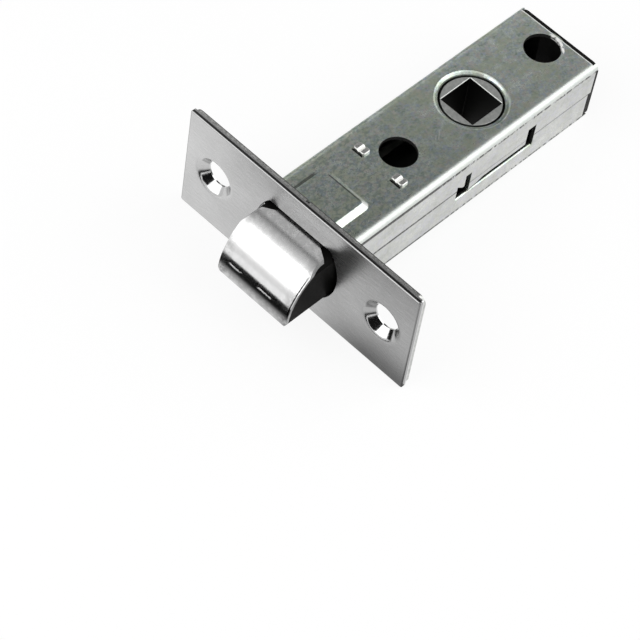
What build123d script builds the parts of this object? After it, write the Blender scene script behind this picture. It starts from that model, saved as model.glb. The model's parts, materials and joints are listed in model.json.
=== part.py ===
from build123d import *
import os
from math import asin, cos, degrees, hypot, radians, sin, sqrt, tan

# Tubular mortice latch for an interior door, with a sprung bevelled bolt.
# Millimetres. The origin is the centre of the faceplate's front face.
# +X points out of the door's edge, along the bolt's travel.
# +Y runs along the faceplate's length.
# +Z runs along the spindle, towards the upper cheek of the case.

# Faceplate and the inner forend behind it
plate_length = 57.0
plate_width = 25.0
plate_sheet = 1.0
plate_corner = 0.4
plate_edge = 0.15
inner_sheet = 0.6
inner_corner = 1.6
inner_notch = 0.7
screw_spacing = 42.4
screw_throat = 5.4
dish_diameter = 8.7
dish_depth = 1.95
dish_land = 0.3
dish_lip = 1.2
dish_wall = 0.8

# Case of two pressed shells
case_width = 19.8
case_height = 15.0
case_sheet = 0.8
case_bend = 1.3
rear_land = 0.65
corner_past = 0.8
upper_flange_past = 0.33
lower_flange_past = -0.36
seam_height = 0.2
seam_gap = 0.08
front_tab_width = 6.0

# Holes through the case
backset = 45.0
through_spacing = 39.4
through_hole = 7.3
rim_bulge = 0.3

# Embossment behind the forend, with an easy slope on its +Y side only
emboss_rise = 0.6
emboss_left = 5.6
emboss_right = 6.2
emboss_end = 12.4
emboss_left_run = 1.4
emboss_rear_run = 0.8
emboss_right_run = 0.45
emboss_roll = 0.3
emboss_left_corner = 1.3
emboss_right_corner = 2.1

# Interlocking tongue and notch in the side flanges
notch_ahead = 13.1
notch_behind = 8.2
notch_depth = 2.6
notch_roll = 0.42
relief_top = 3.1
front_relief_width = 1.5
rear_relief_width = 2.2
front_relief_start = 2.0
foot_relief_run = 1.6
foot_relief_rise = 1.2
tongue_drop = 1.0
tooth_drop = 2.4
tooth_run = 3.9

# Follower, the square hub that the spindle turns
square = 8.1
square_corner = 0.15
square_edge = 0.12
boss_wall = 0.12
boss_edge = 0.03
hub_gap = 0.5
dish_ring = 0.7
dish_flat = 0.25
dish_roll = 0.3
dish_drop = 0.5
boss_sink = 0.5
hub_body_wall = 0.45
collar_step = 0.4
wing_tip = 0.4
wing_root = 4.2

# Bolt head and its plated skin
projection = 10.5
bolt_travel = 10.4
side_gap = 0.45
flat_gap = 0.6
section_bulge = 1.2
skin_sheet = 0.6
nose_radius = 12.4
nose_height = 1.1
bevel_angle = 42.0
bevel_roll = 5.0
chin_radius = 0.9
skin_root = 5.5
skin_shoulder_start = 0.3
skin_shoulder_end = 2.9
skin_tail = 7.3
core_tail = 7.8
opening_gap = 0.35
opening_flat_gap = 0.65

# Draw frame: two forked plates and two blocks
draw_sheet = 1.0
draw_front = 2.4
draw_slot_front = 8.6
strip_gap = 0.45
wing_gap = 0.35
block_nose = 0.6
plate_front_radius = 1.5
slot_corner = 0.6
foot_depth = 1.1
tenon_width = 0.9
tenon_length = 2.0
tenon_inset = 2.0
link_pin = 2.0
link_pin_back = 5.4
link_pin_side = 4.7

# Guide plate with staked tangs
guide_sheet = 1.0
guide_gap = 0.3
guide_boss = 1.2
tang_inset = 0.65
tang_width = 2.5
tang_rise = 0.55
tang_spread = 0.2
tang_lean = 0.9
tang_round = 0.5
tang_slot_front = 0.4
chisel_width = 0.9
chisel_depth = 0.45

# Springs
bolt_wire = 0.6
bolt_coil = 5.4
bolt_turns = 9
spring_bore_bottom = 1.5
return_wire = 0.4
return_coil = 3.3
return_turns = 9
return_inset = 0.3
spigot_length = 2.0
spigot_gap = 0.15

# End cap
cap_flange = 1.1
cap_inset = 0.4
cap_side_inset = 0.05
cap_corner = 1.7
plug_depth = 1.4
plug_corner = 0.5
through_relief = 0.35

# Clearances between pieces of one body, and between bodies that slide
fit = 0.05
slide = 0.2
axial = 0.1
stop_gap = 0.6

# Worked out from the sizes above
plates_back = plate_sheet + inner_sheet
front_hole = backset - through_spacing / 2
rear_hole = backset + through_spacing / 2
cheek_end = rear_hole + through_hole / 2 + rear_land
corner_end = cheek_end + corner_past
bend_start = case_height / 2 - case_bend
upper_flange_end = cheek_end + upper_flange_past
lower_flange_end = cheek_end + lower_flange_past
cap_back = cheek_end + cap_flange
notch_front = backset - notch_ahead
notch_end = backset + notch_behind
tongue_front = notch_front + front_relief_start + front_relief_width
tongue_end = notch_end - rear_relief_width
inside_width = case_width / 2 - case_sheet
inside_height = case_height / 2 - case_sheet
bolt_half_width = inside_width - side_gap
bolt_half_height = inside_height - flat_gap
bolt_section = bolt_half_width + section_bulge
nose_drop = bolt_half_height - nose_height
core_half_height = bolt_half_height - skin_sheet
draw_top = core_half_height - fit
draw_bottom = draw_top - draw_sheet
tongue_half_height = draw_bottom - fit
boss_radius = square / sqrt(2) + boss_wall
hub_hole_radius = boss_radius + hub_gap
opening_half_height = bolt_half_height + opening_flat_gap
dish_radius = hub_hole_radius + dish_ring
hub_body_radius = boss_radius + hub_body_wall
wing_half_height = tongue_half_height - slide + fit
collar_radius = hub_hole_radius + collar_step
collar_top = inside_height - dish_drop - axial
boss_half_height = case_height / 2 - boss_sink
strip_side = inside_width - strip_gap
slot_side = collar_radius + slide
guide_front = draw_slot_front + bolt_travel + stop_gap
guide_side = slot_side - guide_gap
tang_side = guide_side - tang_inset - tang_width / 2
frame_end = cheek_end - plug_depth - 2 * spigot_length - bolt_travel - stop_gap
return_side = strip_side - return_inset - return_coil / 2
foot_inner = return_side - return_coil / 2 - fit
wing_radius = strip_side - wing_tip
wing_lean = degrees(asin(bolt_travel / (2 * wing_radius)))
block_front = backset - wing_radius * sin(radians(wing_lean)) + wing_tip + wing_gap
block_side = hub_body_radius + slide
block_half_height = draw_bottom - fit
collar_bottom = block_half_height + slide
tenon_side = (slot_side + strip_side) / 2
tenon_places = (block_front + tenon_inset, frame_end - tenon_inset)
spigot_diameter = return_coil - 2 * return_wire - 2 * spigot_gap
guide_boss_diameter = bolt_coil - 2 * bolt_wire - 4 * spigot_gap


def slab(x0, x1, y0, y1, z0, z1):
    """Block between two corners."""
    centre = Pos((x0 + x1) / 2, (y0 + y1) / 2, (z0 + z1) / 2)
    return centre * Box(abs(x1 - x0), abs(y1 - y0), abs(z1 - z0))


def post(x, y, z0, z1, diameter):
    """Round bar along Z."""
    return Pos(x, y, (z0 + z1) / 2) * Cylinder(diameter / 2, abs(z1 - z0))


def rod(x0, x1, y, z, diameter):
    """Round bar along X."""
    return Pos((x0 + x1) / 2, y, z) * Rot(0, 90, 0) * Cylinder(diameter / 2, abs(x1 - x0))


def along_x(sketch, x0, x1):
    """Section drawn across the latch, pushed from x0 to x1."""
    return extrude(Plane.YZ.offset(x0) * sketch, x1 - x0)


def flat_oval(radius, half_width, half_height):
    """Circle cut off on four sides, the section of the bolt and its openings."""
    return Circle(radius) & Rectangle(2 * half_width, 2 * half_height)


def upside_down(shape):
    """The same piece on the other cheek."""
    return mirror(shape, about=Plane.XY)


def other_side(shape):
    """The same piece on the other side of the latch."""
    return mirror(shape, about=Plane.XZ)


def polygon(points):
    """Filled outline through a few points."""
    return make_face(Polyline(*points, close=True))


# Faceplate

def dish():
    """Countersunk cup pressed back from the front face, around its own axis along X."""
    rim = dish_diameter / 2
    throat = screw_throat / 2
    cone_end = -(dish_depth - dish_land)
    slope = (rim - throat) / -cone_end
    outer_step = dish_wall * sqrt(1 + slope ** 2)
    lip = dish_lip * tan(radians(45) / 2)
    lip_drop = lip / hypot(slope, 1)
    outer_throat = throat + dish_wall
    outer_start = throat + slope * (-cone_end - plate_sheet) + outer_step
    outside = rim + lip + dish_wall
    outline = [
        Line((outside, 0), (rim + lip, 0)),
        TangentArc((rim + lip, 0), (rim - slope * lip_drop, -lip_drop), tangent=(-1, 0)),
        Line((rim - slope * lip_drop, -lip_drop), (throat, cone_end)),
        Line((throat, cone_end), (throat, -dish_depth)),
        Line((throat, -dish_depth), (outer_throat, -dish_depth)),
        Line((outer_throat, -dish_depth), (outer_start, -plate_sheet)),
        Line((outer_start, -plate_sheet), (outside, -plate_sheet)),
        Line((outside, -plate_sheet), (outside, 0)),
    ]
    cup = revolve(make_face(Curve() + outline), Axis.Y)
    return Rot(0, 0, -90) * cup, outside, outer_start


def faceplate():
    """Brushed plate with dished screw holes and the flat-sided round opening."""
    blank = RectangleRounded(plate_length, plate_width, plate_corner)
    plate = along_x(blank, -plate_sheet, 0)
    plate = chamfer(plate.faces().sort_by(Axis.X)[-1].edges(), plate_edge)
    opening = flat_oval(bolt_section + opening_gap, plate_length, opening_half_height)
    plate -= along_x(opening, -2 * plate_sheet, plate_sheet)
    cup, cup_radius, _ = dish()
    for y in (-screw_spacing / 2, screw_spacing / 2):
        plate -= rod(-2 * plate_sheet, plate_sheet, y, 0, 2 * cup_radius)
        plate += Pos(0, y, 0) * cup
    return plate


def inner_forend():
    """Thin plate behind the faceplate, which the case is tabbed into."""
    blank = RectangleRounded(plate_length, plate_width, inner_corner)
    plate = along_x(blank, -plates_back, -plate_sheet)
    opening = flat_oval(bolt_section + opening_gap + fit, plate_length, opening_half_height + fit)
    plate -= along_x(opening, -2 * plates_back, 0)
    cup_radius = dish()[2] + 2 * fit
    for y in (-screw_spacing / 2, screw_spacing / 2):
        plate -= rod(-2 * plates_back, 0, y, 0, 2 * cup_radius)
    tab_inner = inside_height + emboss_rise - fit
    tab_outer = case_height / 2 + emboss_rise + fit
    half_tab = front_tab_width / 2 + fit
    tab_slot = slab(-2 * plates_back, 0, -half_tab, half_tab, tab_inner, tab_outer)
    plate -= tab_slot + upside_down(tab_slot)
    mark = Pos(0, 0, plate_width / 2) * Rot(0, 90, 0) * Cylinder(inner_notch / 2, 4 * plates_back)
    return plate - mark - upside_down(mark)


# Case shells

def shell_blank(seam, flange_end):
    """Bent channel: one cheek with a flange down each side, and the bends left longest."""
    height = case_height / 2 - seam
    middle = seam + height / 2
    outer = Pos(0, middle) * Rectangle(case_width, height)
    outer = fillet(outer.vertices().group_by(Axis.Y)[-1], case_bend)
    inner = Pos(0, middle - case_sheet) * Rectangle(case_width - 2 * case_sheet, height)
    inner = fillet(inner.vertices().group_by(Axis.Y)[-1], case_bend - case_sheet)
    channel = along_x(outer - inner, -corner_end, -plates_back)
    past_cheek = slab(-cap_back, -cheek_end, -inside_width, inside_width, inside_height - case_bend, case_height)
    past_flange = slab(-cap_back, -flange_end, inside_width, case_width, -case_height, bend_start)
    return channel - past_cheek - past_flange - other_side(past_flange)


def pad_outline(rise, height):
    """Rounded outline of the embossment at one height, for a rise of 0 to 1 up its slopes."""
    rear = -emboss_end + rise * emboss_rear_run
    right = -emboss_right + rise * emboss_right_run
    left = emboss_left - rise * emboss_left_run
    outline = polygon([(0, right), (rear, right), (rear, left), (0, left)])
    corner = outline.vertices().sort_by_distance((rear, right))[0]
    outline = fillet(corner, emboss_right_corner - rise * emboss_right_run)
    corner = outline.vertices().sort_by_distance((rear, left))[0]
    outline = fillet(corner, emboss_left_corner - rise * emboss_left_corner / 2)
    return Pos(0, 0, height) * outline


def embossment(drop):
    """Raised pad by the forend, as its outer form or, lowered, as its hollow."""
    base = case_height / 2 - drop
    pad = loft([pad_outline(0, base), pad_outline(1, base + emboss_rise)])
    crest = pad.faces().sort_by(Axis.Z)[-1].edges().sort_by(Axis.X)[:-1]
    pad = fillet(crest, emboss_roll)
    in_front = slab(-plates_back, emboss_end, -case_width, case_width, 0, case_height)
    return pad - in_front


def pad_foot(shell):
    """Edges where the embossment rises from the cheek."""
    top = case_height / 2
    edges = shell.edges().filter_by_position(Axis.Z, top - fit / 2, top + fit / 2)
    edges = edges.filter_by_position(Axis.X, -emboss_end - fit, -plates_back - fit)
    return edges.filter_by_position(Axis.Y, -emboss_right - fit, emboss_left + fit)


def hub_seat():
    """Ring dished in around the follower's hole, to carry its boss."""
    top = case_height / 2
    floor = top - dish_drop
    flat = hub_hole_radius + dish_flat
    slope = Vector(flat - dish_radius, -dish_drop).normalized()
    roll_end = Vector(dish_radius, top) + slope * dish_roll
    outline = [
        TangentArc((dish_radius + dish_roll, top), (roll_end.X, roll_end.Y), tangent=(-1, 0)),
        Line((roll_end.X, roll_end.Y), (flat, floor)),
        Line((flat, floor), (hub_hole_radius, floor)),
        Line((hub_hole_radius, floor), (hub_hole_radius, floor - case_sheet)),
        Line((hub_hole_radius, floor - case_sheet), (flat, floor - case_sheet)),
        Line((flat, floor - case_sheet), (dish_radius, top - case_sheet)),
        Line((dish_radius, top - case_sheet), (dish_radius + dish_roll, top - case_sheet)),
        Line((dish_radius + dish_roll, top - case_sheet), (dish_radius + dish_roll, top)),
    ]
    section = make_face(Curve() + outline)
    return Pos(-backset, 0, 0) * revolve(Plane.XZ * section, Axis.Z)


def tang_slots():
    """Slots for the guide plate's tangs, open a little in front of them."""
    slot = slab(-guide_front - guide_sheet - fit, -guide_front + tang_slot_front,
                tang_side - tang_width / 2 - fit, tang_side + tang_width / 2 + fit, 0, case_height)
    return slot + other_side(slot)


def cheek_work(shell):
    """Everything pressed and pierced in one cheek."""
    shell = shell + embossment(0)
    shell = fillet(pad_foot(shell), emboss_roll)
    shell -= embossment(case_sheet)
    shell -= post(-backset, 0, 0, case_height, 2 * (dish_radius + dish_roll))
    shell += hub_seat()
    bulge = Pos(-rear_hole, 0, (inside_height + case_height / 2) / 2)
    rim = cheek_end - rear_hole + rim_bulge
    shell += bulge * Cylinder(rim, case_sheet)
    shell -= post(-front_hole, 0, 0, case_height, through_hole)
    shell -= post(-rear_hole, 0, 0, case_height, through_hole)
    shell -= tang_slots()
    tab = slab(-plates_back - fit, -plate_sheet - fit, -front_tab_width / 2, front_tab_width / 2,
               inside_height + emboss_rise, case_height / 2 + emboss_rise)
    return shell + tab


def upper_case():
    """Upper shell, whose flanges end in a tongue with a tooth."""
    shell = cheek_work(shell_blank(seam_height, upper_flange_end))
    front_relief_end = tongue_front - front_relief_width
    reliefs = slab(-tongue_front, -front_relief_end, -case_width, case_width, 0, relief_top)
    reliefs += slab(-notch_end, -tongue_end, -case_width, case_width, 0, relief_top)
    foot = polygon([
        (-notch_front, 0),
        (-notch_front, seam_height + foot_relief_rise),
        (-notch_front - foot_relief_run, seam_height),
        (-notch_front - foot_relief_run, 0),
    ])
    reliefs += extrude(Plane.XZ * foot, case_width, both=True)
    tongue = polygon([
        (-tongue_front, seam_height),
        (-tongue_front, -tooth_drop),
        (-tongue_front - tooth_run, -tongue_drop),
        (-tongue_end, -tongue_drop),
        (-tongue_end, seam_height),
    ])
    blade = extrude(Plane.XZ.offset(-case_width / 2) * tongue, case_sheet)
    return shell - reliefs + blade + other_side(blade)


def lower_case():
    """Lower shell, whose flanges are notched for the upper shell's tongues."""
    shell = upside_down(cheek_work(shell_blank(seam_gap - seam_height, lower_flange_end)))
    notch = slab(-notch_end, -notch_front, -case_width, case_width, -notch_depth, case_height / 2)
    roll_side = case_width / 2 - notch_roll
    roll = rod(-notch_end, -notch_front, roll_side, -notch_depth - notch_roll, 2 * notch_roll)
    corner = slab(-notch_end, -notch_front, roll_side, case_width, -notch_depth - notch_roll, -notch_depth)
    sheared = corner - roll
    return shell - notch - sheared - other_side(sheared)


def end_cap():
    """Black cap that closes the case and holds the return springs' rear ends."""
    outline = RectangleRounded(case_width - 2 * cap_side_inset, case_height - 2 * cap_inset, cap_corner)
    front = -lower_flange_end - fit
    cap = along_x(outline, -cap_back, front)
    wall = inside_width - fit
    cheek = slab(-cheek_end - fit, front, -case_width, case_width, inside_height - fit, case_height)
    bend = slab(-corner_end - fit, front, wall, case_width, bend_start - fit, case_height)
    flange = slab(-upper_flange_end - fit, front, wall, case_width, seam_height - fit, case_height / 2)
    bends = bend + other_side(bend)
    cap = cap - cheek - upside_down(cheek) - bends - upside_down(bends)
    cap = cap - flange - other_side(flange)
    inside = RectangleRounded(2 * wall, 2 * (inside_height - fit), plug_corner)
    cap += along_x(inside, -cheek_end - fit, -cheek_end + plug_depth)
    cap -= post(-rear_hole, 0, -case_height, case_height, through_hole + 2 * through_relief)
    rim = cheek_end - rear_hole + rim_bulge + fit
    bulge = post(-rear_hole, 0, inside_height - fit, case_height, 2 * rim)
    cap -= bulge + upside_down(bulge)
    plug_face = -cheek_end + plug_depth
    spigot = rod(plug_face, plug_face + spigot_length, return_side, 0, spigot_diameter)
    return cap + spigot + other_side(spigot)


# Guide plate

def staked_head():
    """End of one tang, turned back over the cheek in two lobes by a chisel cut."""
    top = case_height / 2
    x_back = -guide_front - guide_sheet - tang_lean
    half_width = tang_width / 2 + tang_spread
    head = slab(x_back, -guide_front, tang_side - half_width, tang_side + half_width,
                top, top + tang_rise)
    head = fillet(head.edges().filter_by(Axis.Z), tang_round)
    head = fillet(head.faces().sort_by(Axis.Z)[-1].edges(), tang_rise / 2)
    cut = polygon([
        (-chisel_width / 2, tang_rise),
        (0, tang_rise - chisel_depth),
        (chisel_width / 2, tang_rise),
    ])
    cut = extrude(Plane.YZ.offset(x_back) * Pos(tang_side, top) * cut, -x_back)
    return head - cut


def guide_plate():
    """Fixed plate that the bolt's spring pushes against, staked through both cheeks."""
    back = -guide_front - guide_sheet
    plate = slab(back, -guide_front, -guide_side, guide_side, -inside_height + fit, inside_height - fit)
    plate += rod(-guide_front, -guide_front + guide_boss, 0, 0, guide_boss_diameter)
    tang = slab(back, -guide_front, tang_side - tang_width / 2, tang_side + tang_width / 2,
                0, case_height / 2)
    tang += staked_head()
    tangs = tang + other_side(tang)
    return plate + tangs + upside_down(tangs)


# Bolt

def bolt_profile(inset):
    """Side view of the bolt, drawn in from its outer face by the skin's thickness."""
    radius = nose_radius - inset
    centre = Vector(projection - nose_radius, -nose_drop)
    angle = radians(90 - bevel_angle)
    meet = centre + Vector(radius * cos(angle), radius * sin(angle))
    top = bolt_half_height - inset
    bevel_start = meet.X - (top - meet.Y) / tan(radians(bevel_angle))
    chin = chin_radius - inset
    front = projection - inset
    back = -2 * core_tail
    sides = [
        Line((back, top), (bevel_start, top)),
        Line((bevel_start, top), (meet.X, meet.Y)),
        RadiusArc((meet.X, meet.Y), (front, -nose_drop), radius),
        Line((front, -nose_drop), (front, -top + chin)),
        RadiusArc((front, -top + chin), (front - chin, -top), chin),
        Line((front - chin, -top), (back, -top)),
        Line((back, -top), (back, top)),
    ]
    profile = make_face(Curve() + sides)
    crest = profile.vertices().sort_by_distance((bevel_start, top))[0]
    return fillet(crest, bevel_roll - inset)


def bolt_body(inset):
    """Round body flattened above and below, with the bevel cut on its end."""
    section = flat_oval(bolt_section, bolt_half_width, bolt_half_height - inset)
    body = along_x(section, -core_tail, 2 * projection)
    profile = extrude(Plane.XZ * bolt_profile(inset), case_width, both=True)
    return body & profile


def link_pins(diameter, half_height):
    """The two rivets that tie skin, draw plates and core together."""
    pin = post(-link_pin_back, link_pin_side, -half_height, half_height, diameter)
    return pin, other_side(pin)


def bolt_skin():
    """Plated sheet wrapped over the bevel, nose and both flats of the bolt."""
    skin = bolt_body(0) - bolt_body(skin_sheet)
    wide = bolt_half_width + 1
    plan = polygon([
        (-skin_tail, -skin_root),
        (skin_shoulder_start, -skin_root),
        (skin_shoulder_end, -wide),
        (2 * projection, -wide),
        (2 * projection, wide),
        (skin_shoulder_end, wide),
        (skin_shoulder_start, skin_root),
        (-skin_tail, skin_root),
    ])
    skin &= extrude(plan, case_height, both=True)
    for hole in link_pins(link_pin + 2 * fit, case_height):
        skin -= hole
    return skin


def bolt_core():
    """Black moulded body of the bolt, bored for its spring and waisted for the draw plates."""
    core = bolt_body(skin_sheet + fit)
    waist = slab(-2 * core_tail, -draw_front + fit, -case_width, case_width,
                 tongue_half_height, case_height)
    core -= waist + upside_down(waist)
    core -= rod(-2 * core_tail, spring_bore_bottom, 0, 0, bolt_coil + 2 * slide)
    for hole in link_pins(link_pin + 2 * fit, case_height):
        core -= hole
    return core


# Draw frame

def tenon(x, z0, z1, gap):
    """Tenon of a draw block, or with a gap its mortise in the draw plates."""
    half_length = tenon_length / 2 + gap
    half_width = tenon_width / 2 + gap
    return slab(-x - half_length, -x + half_length,
                tenon_side - half_width, tenon_side + half_width, z0, z1)


def upper_draw_plate():
    """Forked plate from the bolt back past the follower."""
    blank = slab(-frame_end, -draw_front, -strip_side, strip_side, draw_bottom, draw_top)
    blank = fillet(blank.edges().filter_by(Axis.Z).group_by(Axis.X)[-1], plate_front_radius)
    slot = slab(-2 * frame_end, -draw_slot_front, -slot_side, slot_side, 0, case_height)
    slot = fillet(slot.edges().filter_by(Axis.Z).group_by(Axis.X)[-1], slot_corner)
    plate = blank - slot
    for hole in link_pins(link_pin + 2 * fit, case_height):
        plate -= hole
    for x in tenon_places:
        mortise = tenon(x, 0, case_height, fit)
        plate -= mortise + other_side(mortise)
    return plate


def left_draw_block():
    """Block between the forks: its front is pushed by a wing, its foot by a return spring."""
    block = slab(-frame_end, -block_front, block_side, strip_side - fit,
                 -block_half_height, block_half_height)
    inner_corner_edge = block.edges().filter_by(Axis.Z).group_by(Axis.X)[-1].sort_by(Axis.Y)[0]
    block = fillet(inner_corner_edge, block_nose)
    foot = slab(-frame_end, -frame_end + foot_depth, foot_inner, strip_side - fit,
                -block_half_height, block_half_height)
    block += foot
    for x in tenon_places:
        block += tenon(x, -draw_top, draw_top, 0)
    spigot = rod(-frame_end - spigot_length, -frame_end, return_side, 0, spigot_diameter)
    return block + spigot


# Follower

def wing():
    """One arm of the follower, leaning forward from the +Y side, with its pushing face to the rear."""
    reach = polygon([
        (-wing_tip, 0),
        (wing_root, 0),
        (wing_tip, wing_radius),
        (-wing_tip, wing_radius),
    ])
    arm = reach + Pos(0, wing_radius) * Circle(wing_tip)
    arm = Rot(0, 0, -wing_lean) * arm
    return extrude(arm, wing_half_height, both=True)


def square_hole():
    """Square bore for the spindle, a little wider at each mouth."""
    outline = RectangleRounded(square, square, square_corner)
    mouth = RectangleRounded(square + 2 * square_edge, square + 2 * square_edge, square_corner + square_edge)
    bore = extrude(outline, case_height, both=True)
    throat = Pos(0, 0, boss_half_height - square_edge)
    countersink = loft([throat * outline, Pos(0, 0, boss_half_height) * mouth])
    return bore + countersink + upside_down(countersink)


def follower():
    """Hub with a square hole, a collar and boss for each cheek, and two wings."""
    hub = Cylinder(hub_body_radius, 2 * collar_top)
    collar = post(0, 0, collar_bottom, collar_top, 2 * collar_radius)
    hub += collar + upside_down(collar)
    hub += wing() + other_side(wing())
    boss = Cylinder(boss_radius, 2 * boss_half_height)
    hub += chamfer(boss.edges().filter_by(GeomType.CIRCLE), boss_edge)
    hub -= square_hole()
    return Pos(-backset, 0, 0) * hub


# Springs

def coil(x0, x1, y, diameter, wire, turns):
    """Open compression spring along X between two seats."""
    length = x1 - x0 - wire
    path = Helix(length / turns, length, diameter / 2 - wire / 2)
    start = path @ 0
    section = Plane(origin=start, z_dir=path % 0) * Circle(wire / 2)
    spring = sweep(section, path=path, is_frenet=True)
    return Pos(x0 + wire / 2, y, 0) * Rot(0, 90, 0) * spring


def bolt_spring():
    """Spring in the bolt's bore, from the guide plate."""
    return coil(-guide_front + fit, spring_bore_bottom - fit, 0, bolt_coil, bolt_wire, bolt_turns)


def left_return_spring():
    """Spring beside the rear through hole, from the end cap to the draw block's foot."""
    cap_seat = -cheek_end + plug_depth + fit
    block_seat = -frame_end - fit
    return coil(cap_seat, block_seat, return_side, return_coil, return_wire, return_turns)


def build():
    """All pieces by name."""
    plate = upper_draw_plate()
    block = left_draw_block()
    spring = left_return_spring()
    left_pin, right_pin = link_pins(link_pin, bolt_half_height - fit)
    return {
        "faceplate": faceplate(),
        "inner_forend": inner_forend(),
        "upper_case": upper_case(),
        "lower_case": lower_case(),
        "end_cap": end_cap(),
        "guide_plate": guide_plate(),
        "bolt_skin": bolt_skin(),
        "bolt_core": bolt_core(),
        "left_link_pin": left_pin,
        "right_link_pin": right_pin,
        "upper_draw_plate": plate,
        "lower_draw_plate": upside_down(plate),
        "left_draw_block": block,
        "right_draw_block": other_side(block),
        "follower": follower(),
        "bolt_spring": bolt_spring(),
        "left_return_spring": spring,
        "right_return_spring": other_side(spring),
    }


os.makedirs("parts", exist_ok=True)
for name, piece in build().items():
    export_step(piece, f"parts/{name}.step")
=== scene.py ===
import json
import math

import bpy
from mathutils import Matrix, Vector

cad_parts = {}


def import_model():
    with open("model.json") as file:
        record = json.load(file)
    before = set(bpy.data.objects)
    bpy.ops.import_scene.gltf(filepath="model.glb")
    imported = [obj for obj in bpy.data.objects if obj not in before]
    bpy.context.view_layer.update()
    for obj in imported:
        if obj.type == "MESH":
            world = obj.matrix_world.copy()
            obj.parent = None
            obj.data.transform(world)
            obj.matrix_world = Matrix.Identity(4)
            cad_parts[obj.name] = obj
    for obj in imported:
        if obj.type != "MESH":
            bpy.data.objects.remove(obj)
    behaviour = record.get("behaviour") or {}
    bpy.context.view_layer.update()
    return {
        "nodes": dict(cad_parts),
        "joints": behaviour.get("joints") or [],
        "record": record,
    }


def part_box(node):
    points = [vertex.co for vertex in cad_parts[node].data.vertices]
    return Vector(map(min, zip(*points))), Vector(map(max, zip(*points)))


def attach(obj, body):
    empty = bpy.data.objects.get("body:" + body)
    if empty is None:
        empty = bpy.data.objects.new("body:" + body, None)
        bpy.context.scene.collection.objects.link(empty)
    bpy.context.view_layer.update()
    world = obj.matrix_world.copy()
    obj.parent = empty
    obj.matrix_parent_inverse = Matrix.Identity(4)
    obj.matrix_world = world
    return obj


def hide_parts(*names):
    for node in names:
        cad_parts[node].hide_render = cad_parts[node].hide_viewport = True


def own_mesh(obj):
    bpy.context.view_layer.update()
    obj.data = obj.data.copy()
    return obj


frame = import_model()
nodes = frame["nodes"]
record = frame["record"]
MM = 0.001

# Sizes and places on the latch, in millimetres, as the frame gives them
mounts = {mount["name"]: mount for mount in record["mounts"]}
joints = {joint["name"]: joint for joint in frame["joints"]}
bolt_pattern = mounts["through_bolts"]
plate_low, plate_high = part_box("faceplate")
forend_low, forend_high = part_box("inner_forend")
guide_low, guide_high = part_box("guide_plate")
FOLLOWER_X = bolt_pattern["pos_m"][0] / MM
CHEEK = bolt_pattern["pos_m"][2] / MM
HOLE_RADIUS = bolt_pattern["dims"]["hole_r_mm"]
HOLE_REACH = bolt_pattern["dims"]["spacing_x_mm"] / 2
FRONT_HOLE_X = FOLLOWER_X + HOLE_REACH
REAR_HOLE_X = FOLLOWER_X - HOLE_REACH
SCREW_Y = mounts["faceplate_screws"]["dims"]["spacing_x_mm"] / 2
BOLT_TRAVEL = -joints["bolt_slide"]["range_m"][0] / MM
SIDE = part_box("upper_case")[1].y / MM
PLATE_END = plate_high.y / MM
PLATE_EDGE = plate_high.z / MM
FOREND_BACK_X = forend_low.x / MM
TANG_X = (guide_low.x + guide_high.x) / 2 / MM
BOLT_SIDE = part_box("bolt_skin")[1].y / MM

# Sizes and places on the latch that the frame doesn't give
SHEET = 0.8
BEND_RADIUS = 1.3
CREASE_Z = CHEEK - BEND_RADIUS
SEAM_Z = 0.14
CASE_REAR_X = -69.0
TANG_Y = 4.75
TONGUE_X = -44.2
TONGUE_REACH = 8.2
WINDOW_REAR_X = -53.2
WINDOW_SILL_Z = -2.6
WINDOW_TOP_Z = 3.2
PAD_REAR_X = -12.4
PAD_RIGHT_Y = -6.2
PAD_LEFT_Y = 5.6
PAD_RISE = 0.6
DISH_RADIUS = 4.35
HALF_SQUARE = 4.05
OPENING_HALF_LENGTH = 10.4
OPENING_HALF_HEIGHT = 7.0
SCRATCH = (-34.0, 2.0)

# Springs: their wires and turns, and how far behind the coil each seat lies
SPRING_WIRES = {"bolt_spring": 0.6, "left_return_spring": 0.4, "right_return_spring": 0.4}
SPRING_TURNS = 9
SEAT_GAP = 0.05
STEPS_PER_TURN = 28
WIRE_SIDES = 10

# Stage: the two edges that the latch rests on, as X and Z, and the point that cards and lamps face
REST_EDGE = (-0.8, -12.5)
REST_REAR = (-69.3, -7.5)
REST_TILT = math.atan2(REST_REAR[1] - REST_EDGE[1], REST_EDGE[0] - REST_REAR[0])
STAGE_MIDDLE = Vector((-20, 0, 0))
FLOOR_SIZE = 4000
BENCH_REACH = 57.0
BENCH_WIDTH = 400
SKY_LIGHT = 0.65

# Camera: its place and its turns about X, Y and Z in degrees, and its focal length in pixels
CAMERA_PLACE = (252.0645, 192.2989, 398.2387)
CAMERA_TURNS = (36.73565, -6.38592, 134.63173)
FOCAL_PIXELS = 2850.87
IMAGE_PIXELS = 640
SENSOR_WIDTH = 36.0


# Shader maths

class Value:
    """One socket of a shader, with arithmetic that adds Math nodes."""

    def __init__(self, paint, socket):
        self.paint = paint
        self.socket = socket

    def math(self, operation, *others):
        return self.paint.node("ShaderNodeMath", {"operation": operation}, self, *others)

    def __add__(self, other):
        return self.math("ADD", other)

    def __radd__(self, other):
        return self.math("ADD", other)

    def __sub__(self, other):
        return self.math("SUBTRACT", other)

    def __rsub__(self, other):
        return self.paint.node("ShaderNodeMath", {"operation": "SUBTRACT"}, other, self)

    def __mul__(self, other):
        return self.math("MULTIPLY", other)

    def __rmul__(self, other):
        return self.math("MULTIPLY", other)

    def above(self, level, soft):
        """1 above a level, which may itself vary, and 0 below it, with a soft step."""
        return self.paint.step(self, level - soft, level + soft)

    def below(self, level, soft):
        return 1.0 - self.above(level, soft)

    def least(self, other):
        return self.math("MINIMUM", other)

    def most(self, other):
        return self.math("MAXIMUM", other)

    def size(self):
        return self.math("ABSOLUTE")


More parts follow.
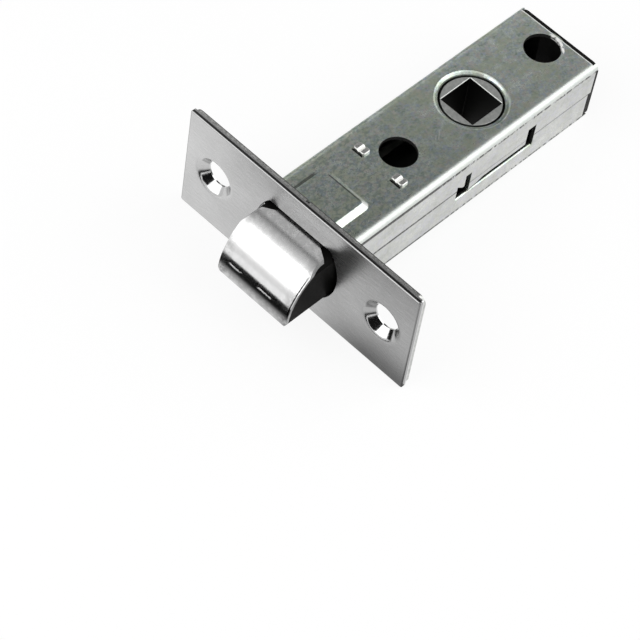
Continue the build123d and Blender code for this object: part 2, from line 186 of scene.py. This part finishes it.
class Paint:
    """The shader nodes of one material or world."""

    def __init__(self, owner):
        owner.use_nodes = True
        self.owner = owner
        self.tree = owner.node_tree
        self.tree.nodes.clear()

    def node(self, kind, settings, *values, out=0, **named):
        """Adds a node: its type, its settings, then the values or links of its sockets."""
        made = self.tree.nodes.new(kind)
        for key, setting in settings.items():
            setattr(made, key, setting)
        sockets = list(enumerate(values))
        sockets += [(key.replace("_", " "), value) for key, value in named.items()]
        for key, value in sockets:
            if isinstance(value, Value):
                self.tree.links.new(value.socket, made.inputs[key])
            elif value is not None:
                made.inputs[key].default_value = value
        return Value(self, made.outputs[out])

    def place(self, scale=(1.0, 1.0, 1.0)):
        """The point on the piece, in millimetres, stretched by a scale along each axis."""
        where = self.node("ShaderNodeTexCoord", {}, out="Object")
        scales = tuple(s / MM for s in scale)
        return self.node("ShaderNodeVectorMath", {"operation": "MULTIPLY"}, where, scales)

    def axes(self):
        """X, Y and Z of the point, in millimetres."""
        split = self.node("ShaderNodeSeparateXYZ", {}, self.place())
        return [Value(self, socket) for socket in split.socket.node.outputs]

    def noise(self, scale, detail=2.0, roughness=0.5, stretch=(1.0, 1.0, 1.0), distortion=0.0):
        """Noise from 0 to 1 whose features are about 1/scale mm."""
        return self.node("ShaderNodeTexNoise", {}, Vector=self.place(stretch), Scale=scale,
                         Detail=detail, Roughness=roughness, Distortion=distortion)

    def step(self, value, low, high):
        """Smooth step of a value between two levels."""
        smooth = {"interpolation_type": "SMOOTHSTEP"}
        return self.node("ShaderNodeMapRange", smooth, value, low, high, 0.0, 1.0)

    def scaled(self, value, low, high, out_low=0.0, out_high=1.0):
        """A value's range stretched to another range, and held to it."""
        return self.node("ShaderNodeMapRange", {}, value, low, high, out_low, out_high)

    def mix(self, mask, first, second):
        """Colour from the first to the second as the mask goes from 0 to 1."""
        colours = [c if isinstance(c, Value) else (*c, 1.0) for c in (first, second)]
        settings = {"data_type": "RGBA"}
        # Five sockets for numbers and vectors stand between the mask's and the colours'
        unused = [None] * 5
        return self.node("ShaderNodeMix", settings, mask, *unused, *colours, out=2)

    def bump(self, height, depth, normal=None):
        """Bump of a height from 0 to 1 over a depth in millimetres."""
        return self.node("ShaderNodeBump", {}, Strength=1.0, Distance=depth * MM,
                         Height=height, Normal=normal)

    def band(self, value, middle, half_width):
        """1 where a value lies within a half width of its middle."""
        return (value - middle).size().below(half_width, 0.25 * half_width)

    def metal(self, colour, roughness, normal, metallic=1.0):
        return self.surface(Base_Color=colour, Roughness=roughness, Metallic=metallic, Normal=normal)

    def surface(self, **sockets):
        """Ends the nodes in one Principled shader."""
        return self.finish(self.node("ShaderNodeBsdfPrincipled", {}, **sockets))

    def glow(self, level):
        """Ends the nodes in a glow of a level that may vary."""
        colour = level if isinstance(level, Value) else (*grey(level), 1.0)
        return self.finish(self.node("ShaderNodeEmission", {}, Color=colour))

    def seen(self):
        """1 for what the camera, gloss and glass see, 0 for the light that falls on things."""
        rays = ("Is Camera Ray", "Is Glossy Ray", "Is Transmission Ray")
        camera, gloss, glass = (self.node("ShaderNodeLightPath", {}, out=ray) for ray in rays)
        return camera.most(gloss).most(glass)

    def finish(self, shader, output="ShaderNodeOutputMaterial"):
        """Ends the nodes in a shader, and gives back the material or world."""
        end = self.tree.nodes.new(output)
        self.tree.links.new(shader.socket, end.inputs["Surface"])
        return self.owner


def new_paint(name):
    return Paint(bpy.data.materials.new(name))


def grey(level, warm=0.0):
    """Linear grey, tinted towards yellow by a small amount."""
    return (level * (1 + warm), level, level * (1 - warm))


# Zinc plate of the case

def distance(across, along):
    """Distance of a point from a centre."""
    return (across * across + along * along).math("SQRT")


def zinc_colour(p, tone, blue, front):
    """Clouded green and grey with blue, pink and olive stains, blotched near the front."""
    pink = p.noise(0.85, 3.0, 0.62, stretch=(1.3, 1.0, 1.0))
    olive = p.noise(0.33, 2.0, 0.5, stretch=(1.0, 1.6, 1.0))
    blotch = p.noise(1.15, 4.0, 0.62, stretch=(1.0, 1.3, 1.0), distortion=0.6)
    base = p.mix(p.scaled(tone, 0.40, 0.60), (0.335, 0.415, 0.355), (0.82, 0.895, 0.835))
    base = p.mix(0.65 * blue.above(0.55, 0.08), base, (0.50, 0.575, 0.70))
    base = p.mix(0.50 * pink.below(0.45, 0.08), base, (0.70, 0.62, 0.58))
    base = p.mix(0.50 * olive.above(0.55, 0.08), base, (0.56, 0.62, 0.44))
    base = p.mix(0.50 * front * blotch.below(0.46, 0.08), base, (0.26, 0.34, 0.32))
    return p.mix(0.30 * front * blotch.above(0.56, 0.08), base, (0.84, 0.85, 0.74))


def wall_colour(p, tone, blue):
    """Plainer grey of the side walls, with a violet stain."""
    wall = p.mix(p.scaled(tone, 0.35, 0.65), (0.48, 0.482, 0.462), (0.66, 0.66, 0.642))
    return p.mix(0.5 * blue.above(0.54, 0.10), wall, (0.58, 0.57, 0.63))


def side_lines(p, x, y, z, front):
    """Painted shade in the crease under each bend, and the dark seam, strongest near the front of the left
    side.
    """
    broken = p.noise(0.9, 3.0, 0.7, stretch=(1.6, 1.0, 1.0))
    left = y.above(0.0, 0.1)
    width = 0.26 + 0.16 * front * z.above(0.0, 0.1)
    gaps = broken.above(0.36 + 0.14 * x.below(-32.0, 14.0), 0.08)
    crease = p.band(z.size(), CREASE_Z - 0.05, width) * gaps * (0.35 + 0.65 * left)
    seam = p.band(z, SEAM_Z, 0.18 + 0.12 * front)
    seam = seam * (0.35 + 0.6 * front * broken.above(0.42, 0.08))
    return crease.most(seam)


def painted_shade_inside(p, x, y, z, rear_ring):
    """Painted shade on the sheet's cut edges and inner faces and on the case's front end, which lie in
    shadow.
    """
    front_ring = distance(x - FRONT_HOLE_X, y)
    hole_edge = HOLE_RADIUS + 0.03
    holes = front_ring.below(hole_edge, 0.02).most(rear_ring.below(hole_edge, 0.02))
    slots = p.band(x, TANG_X, 0.78) * p.band(y.size(), TANG_Y, 1.32)
    inside = y.size().below(SIDE - SHEET + 0.03, 0.02) * z.size().below(CHEEK - SHEET + 0.03, 0.02)
    flange = y.size().above(SIDE - SHEET - 0.05, 0.02) * y.size().below(SIDE - 0.10, 0.03)
    window = p.band(x, WINDOW_REAR_X, 0.05) * z.below(WINDOW_TOP_Z, 0.05) * flange
    sill = p.band(z, WINDOW_SILL_Z, 0.04) * y.size().below(SIDE - 0.45, 0.03)
    front_end = x.above(FOREND_BACK_X - 0.3, 0.1)
    return inside.most(holes).most(slots).most(window).most(sill).most(front_end)


def painted_rim_highlight(p, x, y, z, rear_ring):
    """Painted highlight on the rear hole's rim, on the side of the case's end, broken up by noise."""
    torn = p.noise(1.6, 2.0, 0.6)
    rearward = 0.31 * y - 0.95 * (x - REAR_HOLE_X)
    rim = p.band(rear_ring, HOLE_RADIUS + 0.25, 0.28) * z.above(CHEEK - 0.6, 0.05)
    return rim * rearward.above(3.1, 0.2) * torn.above(0.40, 0.05)


def pad_foot_shade(p, x, y, on_top):
    """Painted shade lines at the foot of the pad's far side and rear."""
    far_side = p.band(y, PAD_RIGHT_Y, 0.42) * x.above(PAD_REAR_X + 2.2, 0.8)
    rear = p.band(x, PAD_REAR_X + 1.0, 0.16) * x.above(PAD_REAR_X + 0.75, 0.12)
    rear = rear * y.above(PAD_RIGHT_Y + 1.9, 0.5) * y.below(PAD_LEFT_Y - 2.0, 0.5)
    return far_side.most(rear) * on_top


def scratches(p, x, y):
    """Two short scratches on the cheek, side by side."""
    across = 0.62 * (x - SCRATCH[0]) - 0.78 * (y - SCRATCH[1])
    along = 0.78 * (x - SCRATCH[0]) + 0.62 * (y - SCRATCH[1])
    long_one = p.band(across, 0.0, 0.10) * p.band(along, 0.0, 1.1)
    short_one = p.band(across, 0.55, 0.09) * p.band(along, 0.7, 0.6)
    return long_one.most(short_one)


def case_zinc():
    """Zinc plate on pressed sheet, with painted shade in its creases, inside it and at its cut edges, and
    painted highlights.
    """
    p = new_paint("case_zinc")
    x, y, z = p.axes()
    clouds = p.noise(0.14, 3.0, 0.6)
    spangle = p.noise(0.55, 3.0, 0.62, stretch=(0.8, 1.2, 1.0))
    grain = p.noise(2.2, 2.0, 0.55)
    tone = 0.32 * clouds + 0.36 * spangle + 0.32 * grain
    blue = p.noise(1.05, 3.0, 0.62, stretch=(1.0, 1.3, 1.0))
    front = x.above(-30.0, 12.0)
    on_side = y.size().above(SIDE - 0.04, 0.02)
    on_top = z.above(CHEEK - 0.02, 0.02)
    rear_ring = distance(x - REAR_HOLE_X, y)
    bend = y.size().above(SIDE - BEND_RADIUS, 0.5) * z.size().above(CREASE_Z + 0.15, 0.1)
    lines = side_lines(p, x, y, z, front) * on_side
    dark = painted_shade_inside(p, x, y, z, rear_ring)
    rim_highlight = painted_rim_highlight(p, x, y, z, rear_ring)
    tongue_shade = p.band(z, WINDOW_SILL_Z + 0.50, 0.52) * on_side * p.band(x, TONGUE_X, TONGUE_REACH)
    slope_highlight = z.above(CHEEK + 0.05, 0.02) * z.below(CHEEK + PAD_RISE - 0.06, 0.02) * y.above(0.0, 0.5)
    end_highlight = p.band(x, CASE_REAR_X + 0.10, 0.09) * z.above(CHEEK - 0.25, 0.05)

    base = zinc_colour(p, tone, blue, front)
    base = p.mix(0.85 * on_side, base, wall_colour(p, tone, blue))
    # Painted highlight on the bend of the +Y side
    base = p.mix(0.85 * bend * y.above(0.0, 0.1), base, (0.70, 0.725, 0.70))
    # Painted shade in the creases, with the dark seam
    base = p.mix(lines, base, (0.014, 0.014, 0.012))
    # Painted shade on the cut edges, the inner faces and the case's front end
    base = p.mix(dark, base, (0.010, 0.010, 0.009))
    # Painted highlight on the rear hole's rim
    base = p.mix(rim_highlight, base, (0.97, 0.97, 0.95))
    # Painted shade under the tongue, in the gap above the window's sill
    base = p.mix(tongue_shade, base, (0.02, 0.02, 0.018))
    # Painted highlight on the pad's +Y side
    base = p.mix(0.8 * slope_highlight, base, (0.84, 0.845, 0.83))
    # Painted shade at the pad's foot
    base = p.mix(0.75 * pad_foot_shade(p, x, y, on_top), base, (0.10, 0.11, 0.10))
    base = p.mix(0.55 * scratches(p, x, y) * on_top, base, (0.95, 0.96, 0.93))
    # Painted highlight along the top of the case's rear end
    base = p.mix(0.8 * end_highlight, base, (0.93, 0.94, 0.92))
    rough = p.scaled(tone, 0.3, 0.7, 0.36, 0.24) + 0.3 * dark + 0.16 * bend
    height = 0.5 * p.noise(0.6, 1.0, 0.5) + 0.5 * p.noise(2.0, 1.0, 0.5)
    # Painted shade and painted highlights, and the seam, lose most of their metal sheen
    painted_light_and_seam = dark.most(rim_highlight).most(end_highlight).most(lines)
    return p.metal(base, rough, p.bump(height, 0.016), 1.0 - 0.9 * painted_light_and_seam)


# Other finishes

def faceplate_nickel():
    """Satin nickel, brushed along the plate, smoother in its dishes and dark behind its front edge."""
    p = new_paint("faceplate_nickel")
    x, y, z = p.axes()
    brush = p.noise(1.0, 3.0, 0.7, stretch=(3.0, 0.35, 9.0))
    fine = p.noise(1.0, 2.0, 0.7, stretch=(8.0, 1.2, 26.0))
    clouds = p.noise(0.12, 2.0, 0.5)
    grain = p.noise(4.0, 2.0, 0.6)
    tone = 0.34 * brush + 0.26 * fine + 0.22 * clouds + 0.18 * grain
    dish = distance(y.size() - SCREW_Y, z).below(DISH_RADIUS, 0.05)
    near_edge = z.size().above(PLATE_EDGE - 0.25, 0.05).most(y.size().above(PLATE_END - 0.25, 0.05))
    rim = near_edge * x.above(-0.7, 0.1)
    behind_rim = z.size().above(PLATE_EDGE - 0.1, 0.03) * p.band(x, -0.40, 0.22)
    base = p.mix(p.scaled(tone, 0.35, 0.65), grey(0.52), grey(0.72))
    base = p.mix(0.65 * rim, base, grey(0.22))
    base = p.mix(0.9 * behind_rim, base, grey(0.04))
    rough = p.scaled(brush, 0.3, 0.7, 0.34, 0.24) * (1.0 - 0.6 * dish)
    return p.metal(base, rough, p.bump(0.4 * brush + 0.4 * fine + 0.2 * grain, 0.007))


def forend_steel():
    """Plain bright plate behind the faceplate, with painted shade in its notches and round its opening."""
    p = new_paint("forend_steel")
    x, y, z = p.axes()
    tone = p.noise(0.8, 4.0, 0.65)
    bits = p.noise(1.8, 3.0, 0.7, stretch=(2.0, 1.0, 1.0))
    edge = z.size().above(PLATE_EDGE - 0.1, 0.03)
    notch = p.band(y, 0.0, 0.42) * z.size().above(PLATE_EDGE - 0.5, 0.03)
    opening = y.size().below(OPENING_HALF_LENGTH, 0.05) * z.size().below(OPENING_HALF_HEIGHT, 0.05)
    dark = notch.most(opening)
    base = p.mix(p.scaled(tone, 0.35, 0.65), (0.42, 0.43, 0.42), (0.62, 0.62, 0.60))
    base = p.mix(0.8 * edge * bits.above(0.52, 0.08), base, (0.95, 0.95, 0.93))
    base = p.mix(0.85 * edge * x.below(FOREND_BACK_X + 0.14, 0.05), base, grey(0.10))
    # Painted shade in the notches and round the opening
    base = p.mix(dark, base, grey(0.010))
    return p.metal(base, p.scaled(tone, 0.3, 0.7, 0.36, 0.26), p.bump(tone, 0.01), 1.0 - 0.9 * dark)


def bolt_chrome():
    """Bright plate over wrapped sheet: dull near the root, scuffed along the nose, torn at its edge."""
    p = new_paint("bolt_chrome")
    x, y, z = p.axes()
    ripple = p.noise(0.35, 2.0, 0.5, stretch=(1.0, 0.7, 1.0))
    waves = p.noise(0.55, 3.0, 0.6, stretch=(0.5, 1.0, 0.5))
    drag = p.noise(0.5, 3.0, 0.6, stretch=(0.3, 1.0, 0.3))
    patches = p.noise(1.0, 4.0, 0.6)
    fine = p.noise(6.0, 3.0, 0.6)
    root = x.below(4.4, 2.8)
    edge = y.size().above(BOLT_SIDE - 1.75, 0.9)
    low = z.below(-3.4, 0.6)
    worn = (0.10 + 0.40 * root + 0.45 * edge + 0.35 * low).least(1.0)
    dull = (patches + 0.22 * fine).above(0.58, 0.16) * worn
    strokes = p.band(y, -4.9, 1.5).most(p.band(y, 2.4, 1.6))
    scuff = p.band(z + 0.9 * drag, -1.50, 0.12) * strokes * patches.above(0.45, 0.05)
    tear = p.band(y + 0.3 * patches, BOLT_SIDE - 0.18, 0.13) * patches.above(0.40, 0.05)
    tear = tear * x.above(1.5, 0.5) * p.band(z, 1.0, 3.6)
    base = p.mix(0.60 * root, grey(0.82), grey(0.44))
    base = p.mix(dull, base, grey(0.40))
    base = p.mix(tear, base, grey(0.015))
    rough = 0.09 + 0.16 * dull + 0.03 * fine + 0.14 * z.above(1.2, 1.6) + 0.35 * scuff
    shape = p.bump(0.45 * ripple + 0.40 * waves + 0.15 * fine, 0.022)
    return p.metal(base, rough, p.bump(scuff, 0.035, normal=shape))


def black_nylon(name, level):
    """Moulded black nylon with a soft sheen."""
    p = new_paint(name)
    tone = p.noise(1.6, 4.0, 0.6)
    fine = p.noise(12.0, 2.0, 0.5)
    base = p.mix(tone, grey(level, 0.06), grey(2.2 * level, 0.04))
    rough = p.scaled(tone, 0.3, 0.7, 0.34, 0.48)
    normal = p.bump(0.4 * tone + 0.6 * fine, 0.01)
    return p.surface(Base_Color=base, Roughness=rough, Metallic=0.0, Specular_IOR_Level=0.06, Normal=normal)


def follower_zinc():
    """Zinc plate on the cast follower, with painted shade inside the case and in its square bore."""
    p = new_paint("follower_zinc")
    x, y, z = p.axes()
    tone = p.noise(1.4, 4.0, 0.65)
    grain = p.noise(7.0, 2.0, 0.6)
    bore_wall = HALF_SQUARE + 0.02
    bore = (x - FOLLOWER_X).size().below(bore_wall, 0.02) * y.size().below(bore_wall, 0.02)
    shaded_bore_and_inside = bore.most(z.size().below(CHEEK - 0.9, 0.3))
    base = p.mix(p.scaled(tone, 0.35, 0.65), (0.50, 0.52, 0.50), (0.66, 0.67, 0.65))
    # Painted shade inside the case and in the bore
    base = p.mix(shaded_bore_and_inside, base, (0.008, 0.008, 0.007))
    return p.metal(base, 0.30 + 0.12 * grain + 0.2 * shaded_bore_and_inside, p.bump(0.5 * tone + 0.5 * grain, 0.012))


def staked_steel():
    """Zinc plate on the guide plate, with painted shade below the cheek, so that only its staked tangs show
    bright.
    """
    p = new_paint("staked_steel")
    tone = p.noise(2.0, 4.0, 0.65)
    height = p.axes()[2]
    staked = height.size().above(CHEEK - 0.1, 0.1)
    base = p.mix(tone, (0.58, 0.58, 0.56), (0.78, 0.78, 0.76))
    # Painted shade on the plate below the cheek; the staked tangs keep the plain colour
    base = p.mix(staked, (0.04, 0.04, 0.035), base)
    return p.metal(base, 0.22 + 0.12 * tone, p.bump(tone, 0.02), 0.3 + 0.7 * staked)


def inner_steel():
    """Near-black steel inside the case, painted as shade."""
    p = new_paint("inner_steel")
    tone = p.noise(1.2, 4.0, 0.6)
    # Painted shade: near black all over
    base = p.mix(tone, (0.012, 0.012, 0.011), (0.04, 0.04, 0.036))
    return p.metal(base, 0.4 + 0.1 * tone, p.bump(tone, 0.01))


def spring_steel():
    """Drawn spring wire."""
    p = new_paint("spring_steel")
    tone = p.noise(2.5, 3.0, 0.6)
    return p.metal(p.mix(tone, grey(0.20), grey(0.38)), 0.3 + 0.1 * tone, p.bump(tone, 0.006))


finishes = {
    "case_zinc": case_zinc(),
    "faceplate_nickel": faceplate_nickel(),
    "forend_steel": forend_steel(),
    "bolt_chrome": bolt_chrome(),
    "bolt_nylon": black_nylon("bolt_nylon", 0.005),
    "cap_nylon": black_nylon("cap_nylon", 0.006),
    "follower_zinc": follower_zinc(),
    "staked_steel": staked_steel(),
    "inner_steel": inner_steel(),
    "spring_steel": spring_steel(),
}
for part in record["subparts"]:
    piece = nodes[part["node"]]
    piece.data.materials.clear()
    piece.data.materials.append(finishes[part["material_slot"]])


# Springs

def new_piece(name, data):
    """An object that is in the scene."""
    piece = bpy.data.objects.new(name, data)
    bpy.context.scene.collection.objects.link(piece)
    return piece


def coil_mesh(name, x0, x1, y, coil, wire):
    """Open spring of round wire along X, in metres."""
    radius = (coil - wire) / 2
    steps = SPRING_TURNS * STEPS_PER_TURN
    points = []
    for i in range(steps + 1):
        turn = 2 * math.pi * SPRING_TURNS * i / steps
        out = Vector((0, math.cos(turn), math.sin(turn)))
        middle = Vector((x0 + wire / 2 + (x1 - x0 - wire) * i / steps, y, 0)) + out * radius
        for k in range(WIRE_SIDES):
            round_wire = 2 * math.pi * k / WIRE_SIDES
            offset = out * math.cos(round_wire) + Vector((math.sin(round_wire), 0, 0))
            points.append(middle + offset * wire / 2)
    last_ring = range(steps * WIRE_SIDES, (steps + 1) * WIRE_SIDES)
    faces = [tuple(reversed(range(WIRE_SIDES))), tuple(last_ring)]
    for i in range(steps):
        for k in range(WIRE_SIDES):
            a = i * WIRE_SIDES + k
            b = i * WIRE_SIDES + (k + 1) % WIRE_SIDES
            faces.append((a, b, b + WIRE_SIDES, a + WIRE_SIDES))
    mesh = bpy.data.meshes.new(name)
    mesh.from_pydata(points, [], faces)
    mesh.shade_smooth()
    return mesh


def own_spring(node, wire):
    """A coil in place of a spring's solid, held to the case."""
    low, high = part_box(node)
    mesh = coil_mesh(node + "_coil", low.x, high.x, (low.y + high.y) / 2, high.z - low.z, wire * MM)
    mesh.materials.append(finishes["spring_steel"])
    piece = new_piece(node + "_coil", mesh)
    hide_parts(node)
    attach(piece, "case")
    seat = low.x - SEAT_GAP * MM
    keep = 1 - BOLT_TRAVEL * MM / (high.x - seat)
    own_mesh(piece)


for node, wire in SPRING_WIRES.items():
    own_spring(node, wire)


# Stage

def studio_material(name, seen, lit):
    """A grey that the camera, gloss and glass see, and another for the light that falls on it."""
    p = new_paint(name)
    matt = p.node("ShaderNodeBsdfDiffuse", {}, Color=(*grey(lit), 1.0))
    shine = p.node("ShaderNodeEmission", {}, Color=(*grey(seen), 1.0))
    return p.finish(p.node("ShaderNodeMixShader", {}, 0.85 * p.seen(), matt, shine))


def card(name, centre, facing, width, height, material):
    """A flat stage card, its centre and what it faces in millimetres."""
    mesh = bpy.data.meshes.new(name)
    w, h = width / 2 * MM, height / 2 * MM
    mesh.from_pydata([(-w, -h, 0), (w, -h, 0), (w, h, 0), (-w, h, 0)], [], [(0, 1, 2, 3)])
    mesh.materials.append(material)
    piece = new_piece(name, mesh)
    piece.location = Vector(centre) * MM
    way = Vector(facing) - Vector(centre)
    piece.rotation_euler = way.to_track_quat("Z", "Y").to_euler()
    return piece


def level_card(name, ahead, lift, width, height, material):
    """A card that lies on the plane that the latch rests on, ahead of the resting edge."""
    piece = card(name, (0, 0, 0), (0, 0, 1), width, height, material)
    piece.rotation_euler = (0, REST_TILT, 0)
    forward = Vector((math.cos(REST_TILT), 0, -math.sin(REST_TILT)))
    piece.location = (Vector((REST_EDGE[0], 0, REST_EDGE[1] + lift)) + forward * ahead) * MM
    return piece


def overhead_grey():
    """Grey above the latch's far side, pale in its lower half and dark higher up."""
    p = new_paint("overhead_grey")
    across, up, _ = p.axes()
    return p.glow(p.scaled(0.3 * across + up, -10.0, 100.0, 0.81, 0.04))


def edge_grey():
    """Grey beyond the latch's far edge, dark below and paler above."""
    p = new_paint("edge_grey")
    _, up, _ = p.axes()
    return p.glow(p.scaled(up, -10.0, 80.0, 0.02, 0.34))


def roll_grey():
    """Grey over the bolt's roll, which pales towards the front."""
    p = new_paint("roll_grey")
    across, _, _ = p.axes()
    return p.glow(p.scaled(across, -130.0, 130.0, 1.10, 0.28))


def dish_black():
    """Plain black, which the screw holes' dishes mirror."""
    return new_paint("dish_black").glow(0.01)


def bench_grey():
    """Grey bench before the faceplate: paler towards the plate's -Y end, black a little way out."""
    p = new_paint("bench_grey")
    ahead, side, _ = p.axes()
    reach = ahead + BENCH_REACH / 2
    pale = p.scaled(side, -32.0, 6.0, 0.93, 0.66)
    corner = p.step(side, 4.0, 20.0) * (1.0 - p.step(reach, 1.0, 9.0))
    black = p.step(reach, 15.0, 27.0) * p.step(side, -36.0, -28.0)
    return p.glow(pale * (1.0 - 0.70 * corner) * (1.0 - 0.99 * black))


def only_gloss(piece):
    """Leaves a stage card to reflections alone."""
    piece.visible_camera = False
    piece.visible_diffuse = False
    piece.visible_shadow = False
    piece.visible_transmission = False


def flag(name, direction, reach, width, height, material):
    """A card that faces the latch, and that only gloss sees."""
    centre = STAGE_MIDDLE + Vector(direction).normalized() * reach
    only_gloss(card(name, centre, STAGE_MIDDLE, width, height, material))


def lamp(name, direction, reach, size, level):
    """A square softbox that faces the latch and shines as bright as a surface of that level."""
    light = bpy.data.lights.new(name, "AREA")
    light.shape = "SQUARE"
    light.size = size * MM
    light.energy = level * math.pi * (size * MM) ** 2
    piece = new_piece(name, light)
    way = Vector(direction).normalized()
    piece.location = (STAGE_MIDDLE + way * reach) * MM
    piece.rotation_euler = (-way).to_track_quat("-Z", "Y").to_euler()
    piece.visible_camera = False


def world():
    """Pale where it is seen, plain soft light elsewhere."""
    p = Paint(bpy.data.worlds.new("studio"))
    lit = p.node("ShaderNodeBackground", {}, Strength=SKY_LIGHT)
    pale = p.node("ShaderNodeBackground", {}, Strength=1.0)
    shader = p.node("ShaderNodeMixShader", {}, p.seen(), lit, pale)
    bpy.context.scene.world = p.finish(shader, "ShaderNodeOutputWorld")


def camera():
    """The photograph's view, fitted to the latch's edges."""
    lens = bpy.data.cameras.new("camera")
    lens.sensor_width = SENSOR_WIDTH
    lens.lens = FOCAL_PIXELS / IMAGE_PIXELS * SENSOR_WIDTH
    lens.clip_start = 0.01
    lens.clip_end = 20.0
    piece = new_piece("camera", lens)
    piece.location = Vector(CAMERA_PLACE) * MM
    piece.rotation_euler = [math.radians(turn) for turn in CAMERA_TURNS]
    bpy.context.scene.camera = piece


level_card("floor", 0.0, -0.01, FLOOR_SIZE, FLOOR_SIZE, studio_material("floor_white", 1.02, 1.0))
only_gloss(level_card("bench_card", BENCH_REACH / 2, 0.3, BENCH_REACH, BENCH_WIDTH, bench_grey()))
flag("overhead_card", (-0.60, -0.62, 0.66), 300, 380, 380, overhead_grey())
flag("roll_card", (0.22, -0.40, 0.90), 300, 260, 330, roll_grey())
flag("dish_card", (0.86, 0.38, 0.32), 200, 150, 170, dish_black())
flag("edge_card", (-0.49, -0.85, 0.10), 250, 400, 240, edge_grey())
lamp("side_softbox", (-0.50, 0.56, 0.66), 400, 440, 1.15)
lamp("front_softbox", (0.74, -0.36, 0.57), 400, 380, 1.25)
world()
camera()
bpy.context.scene.view_settings.view_transform = "Standard"
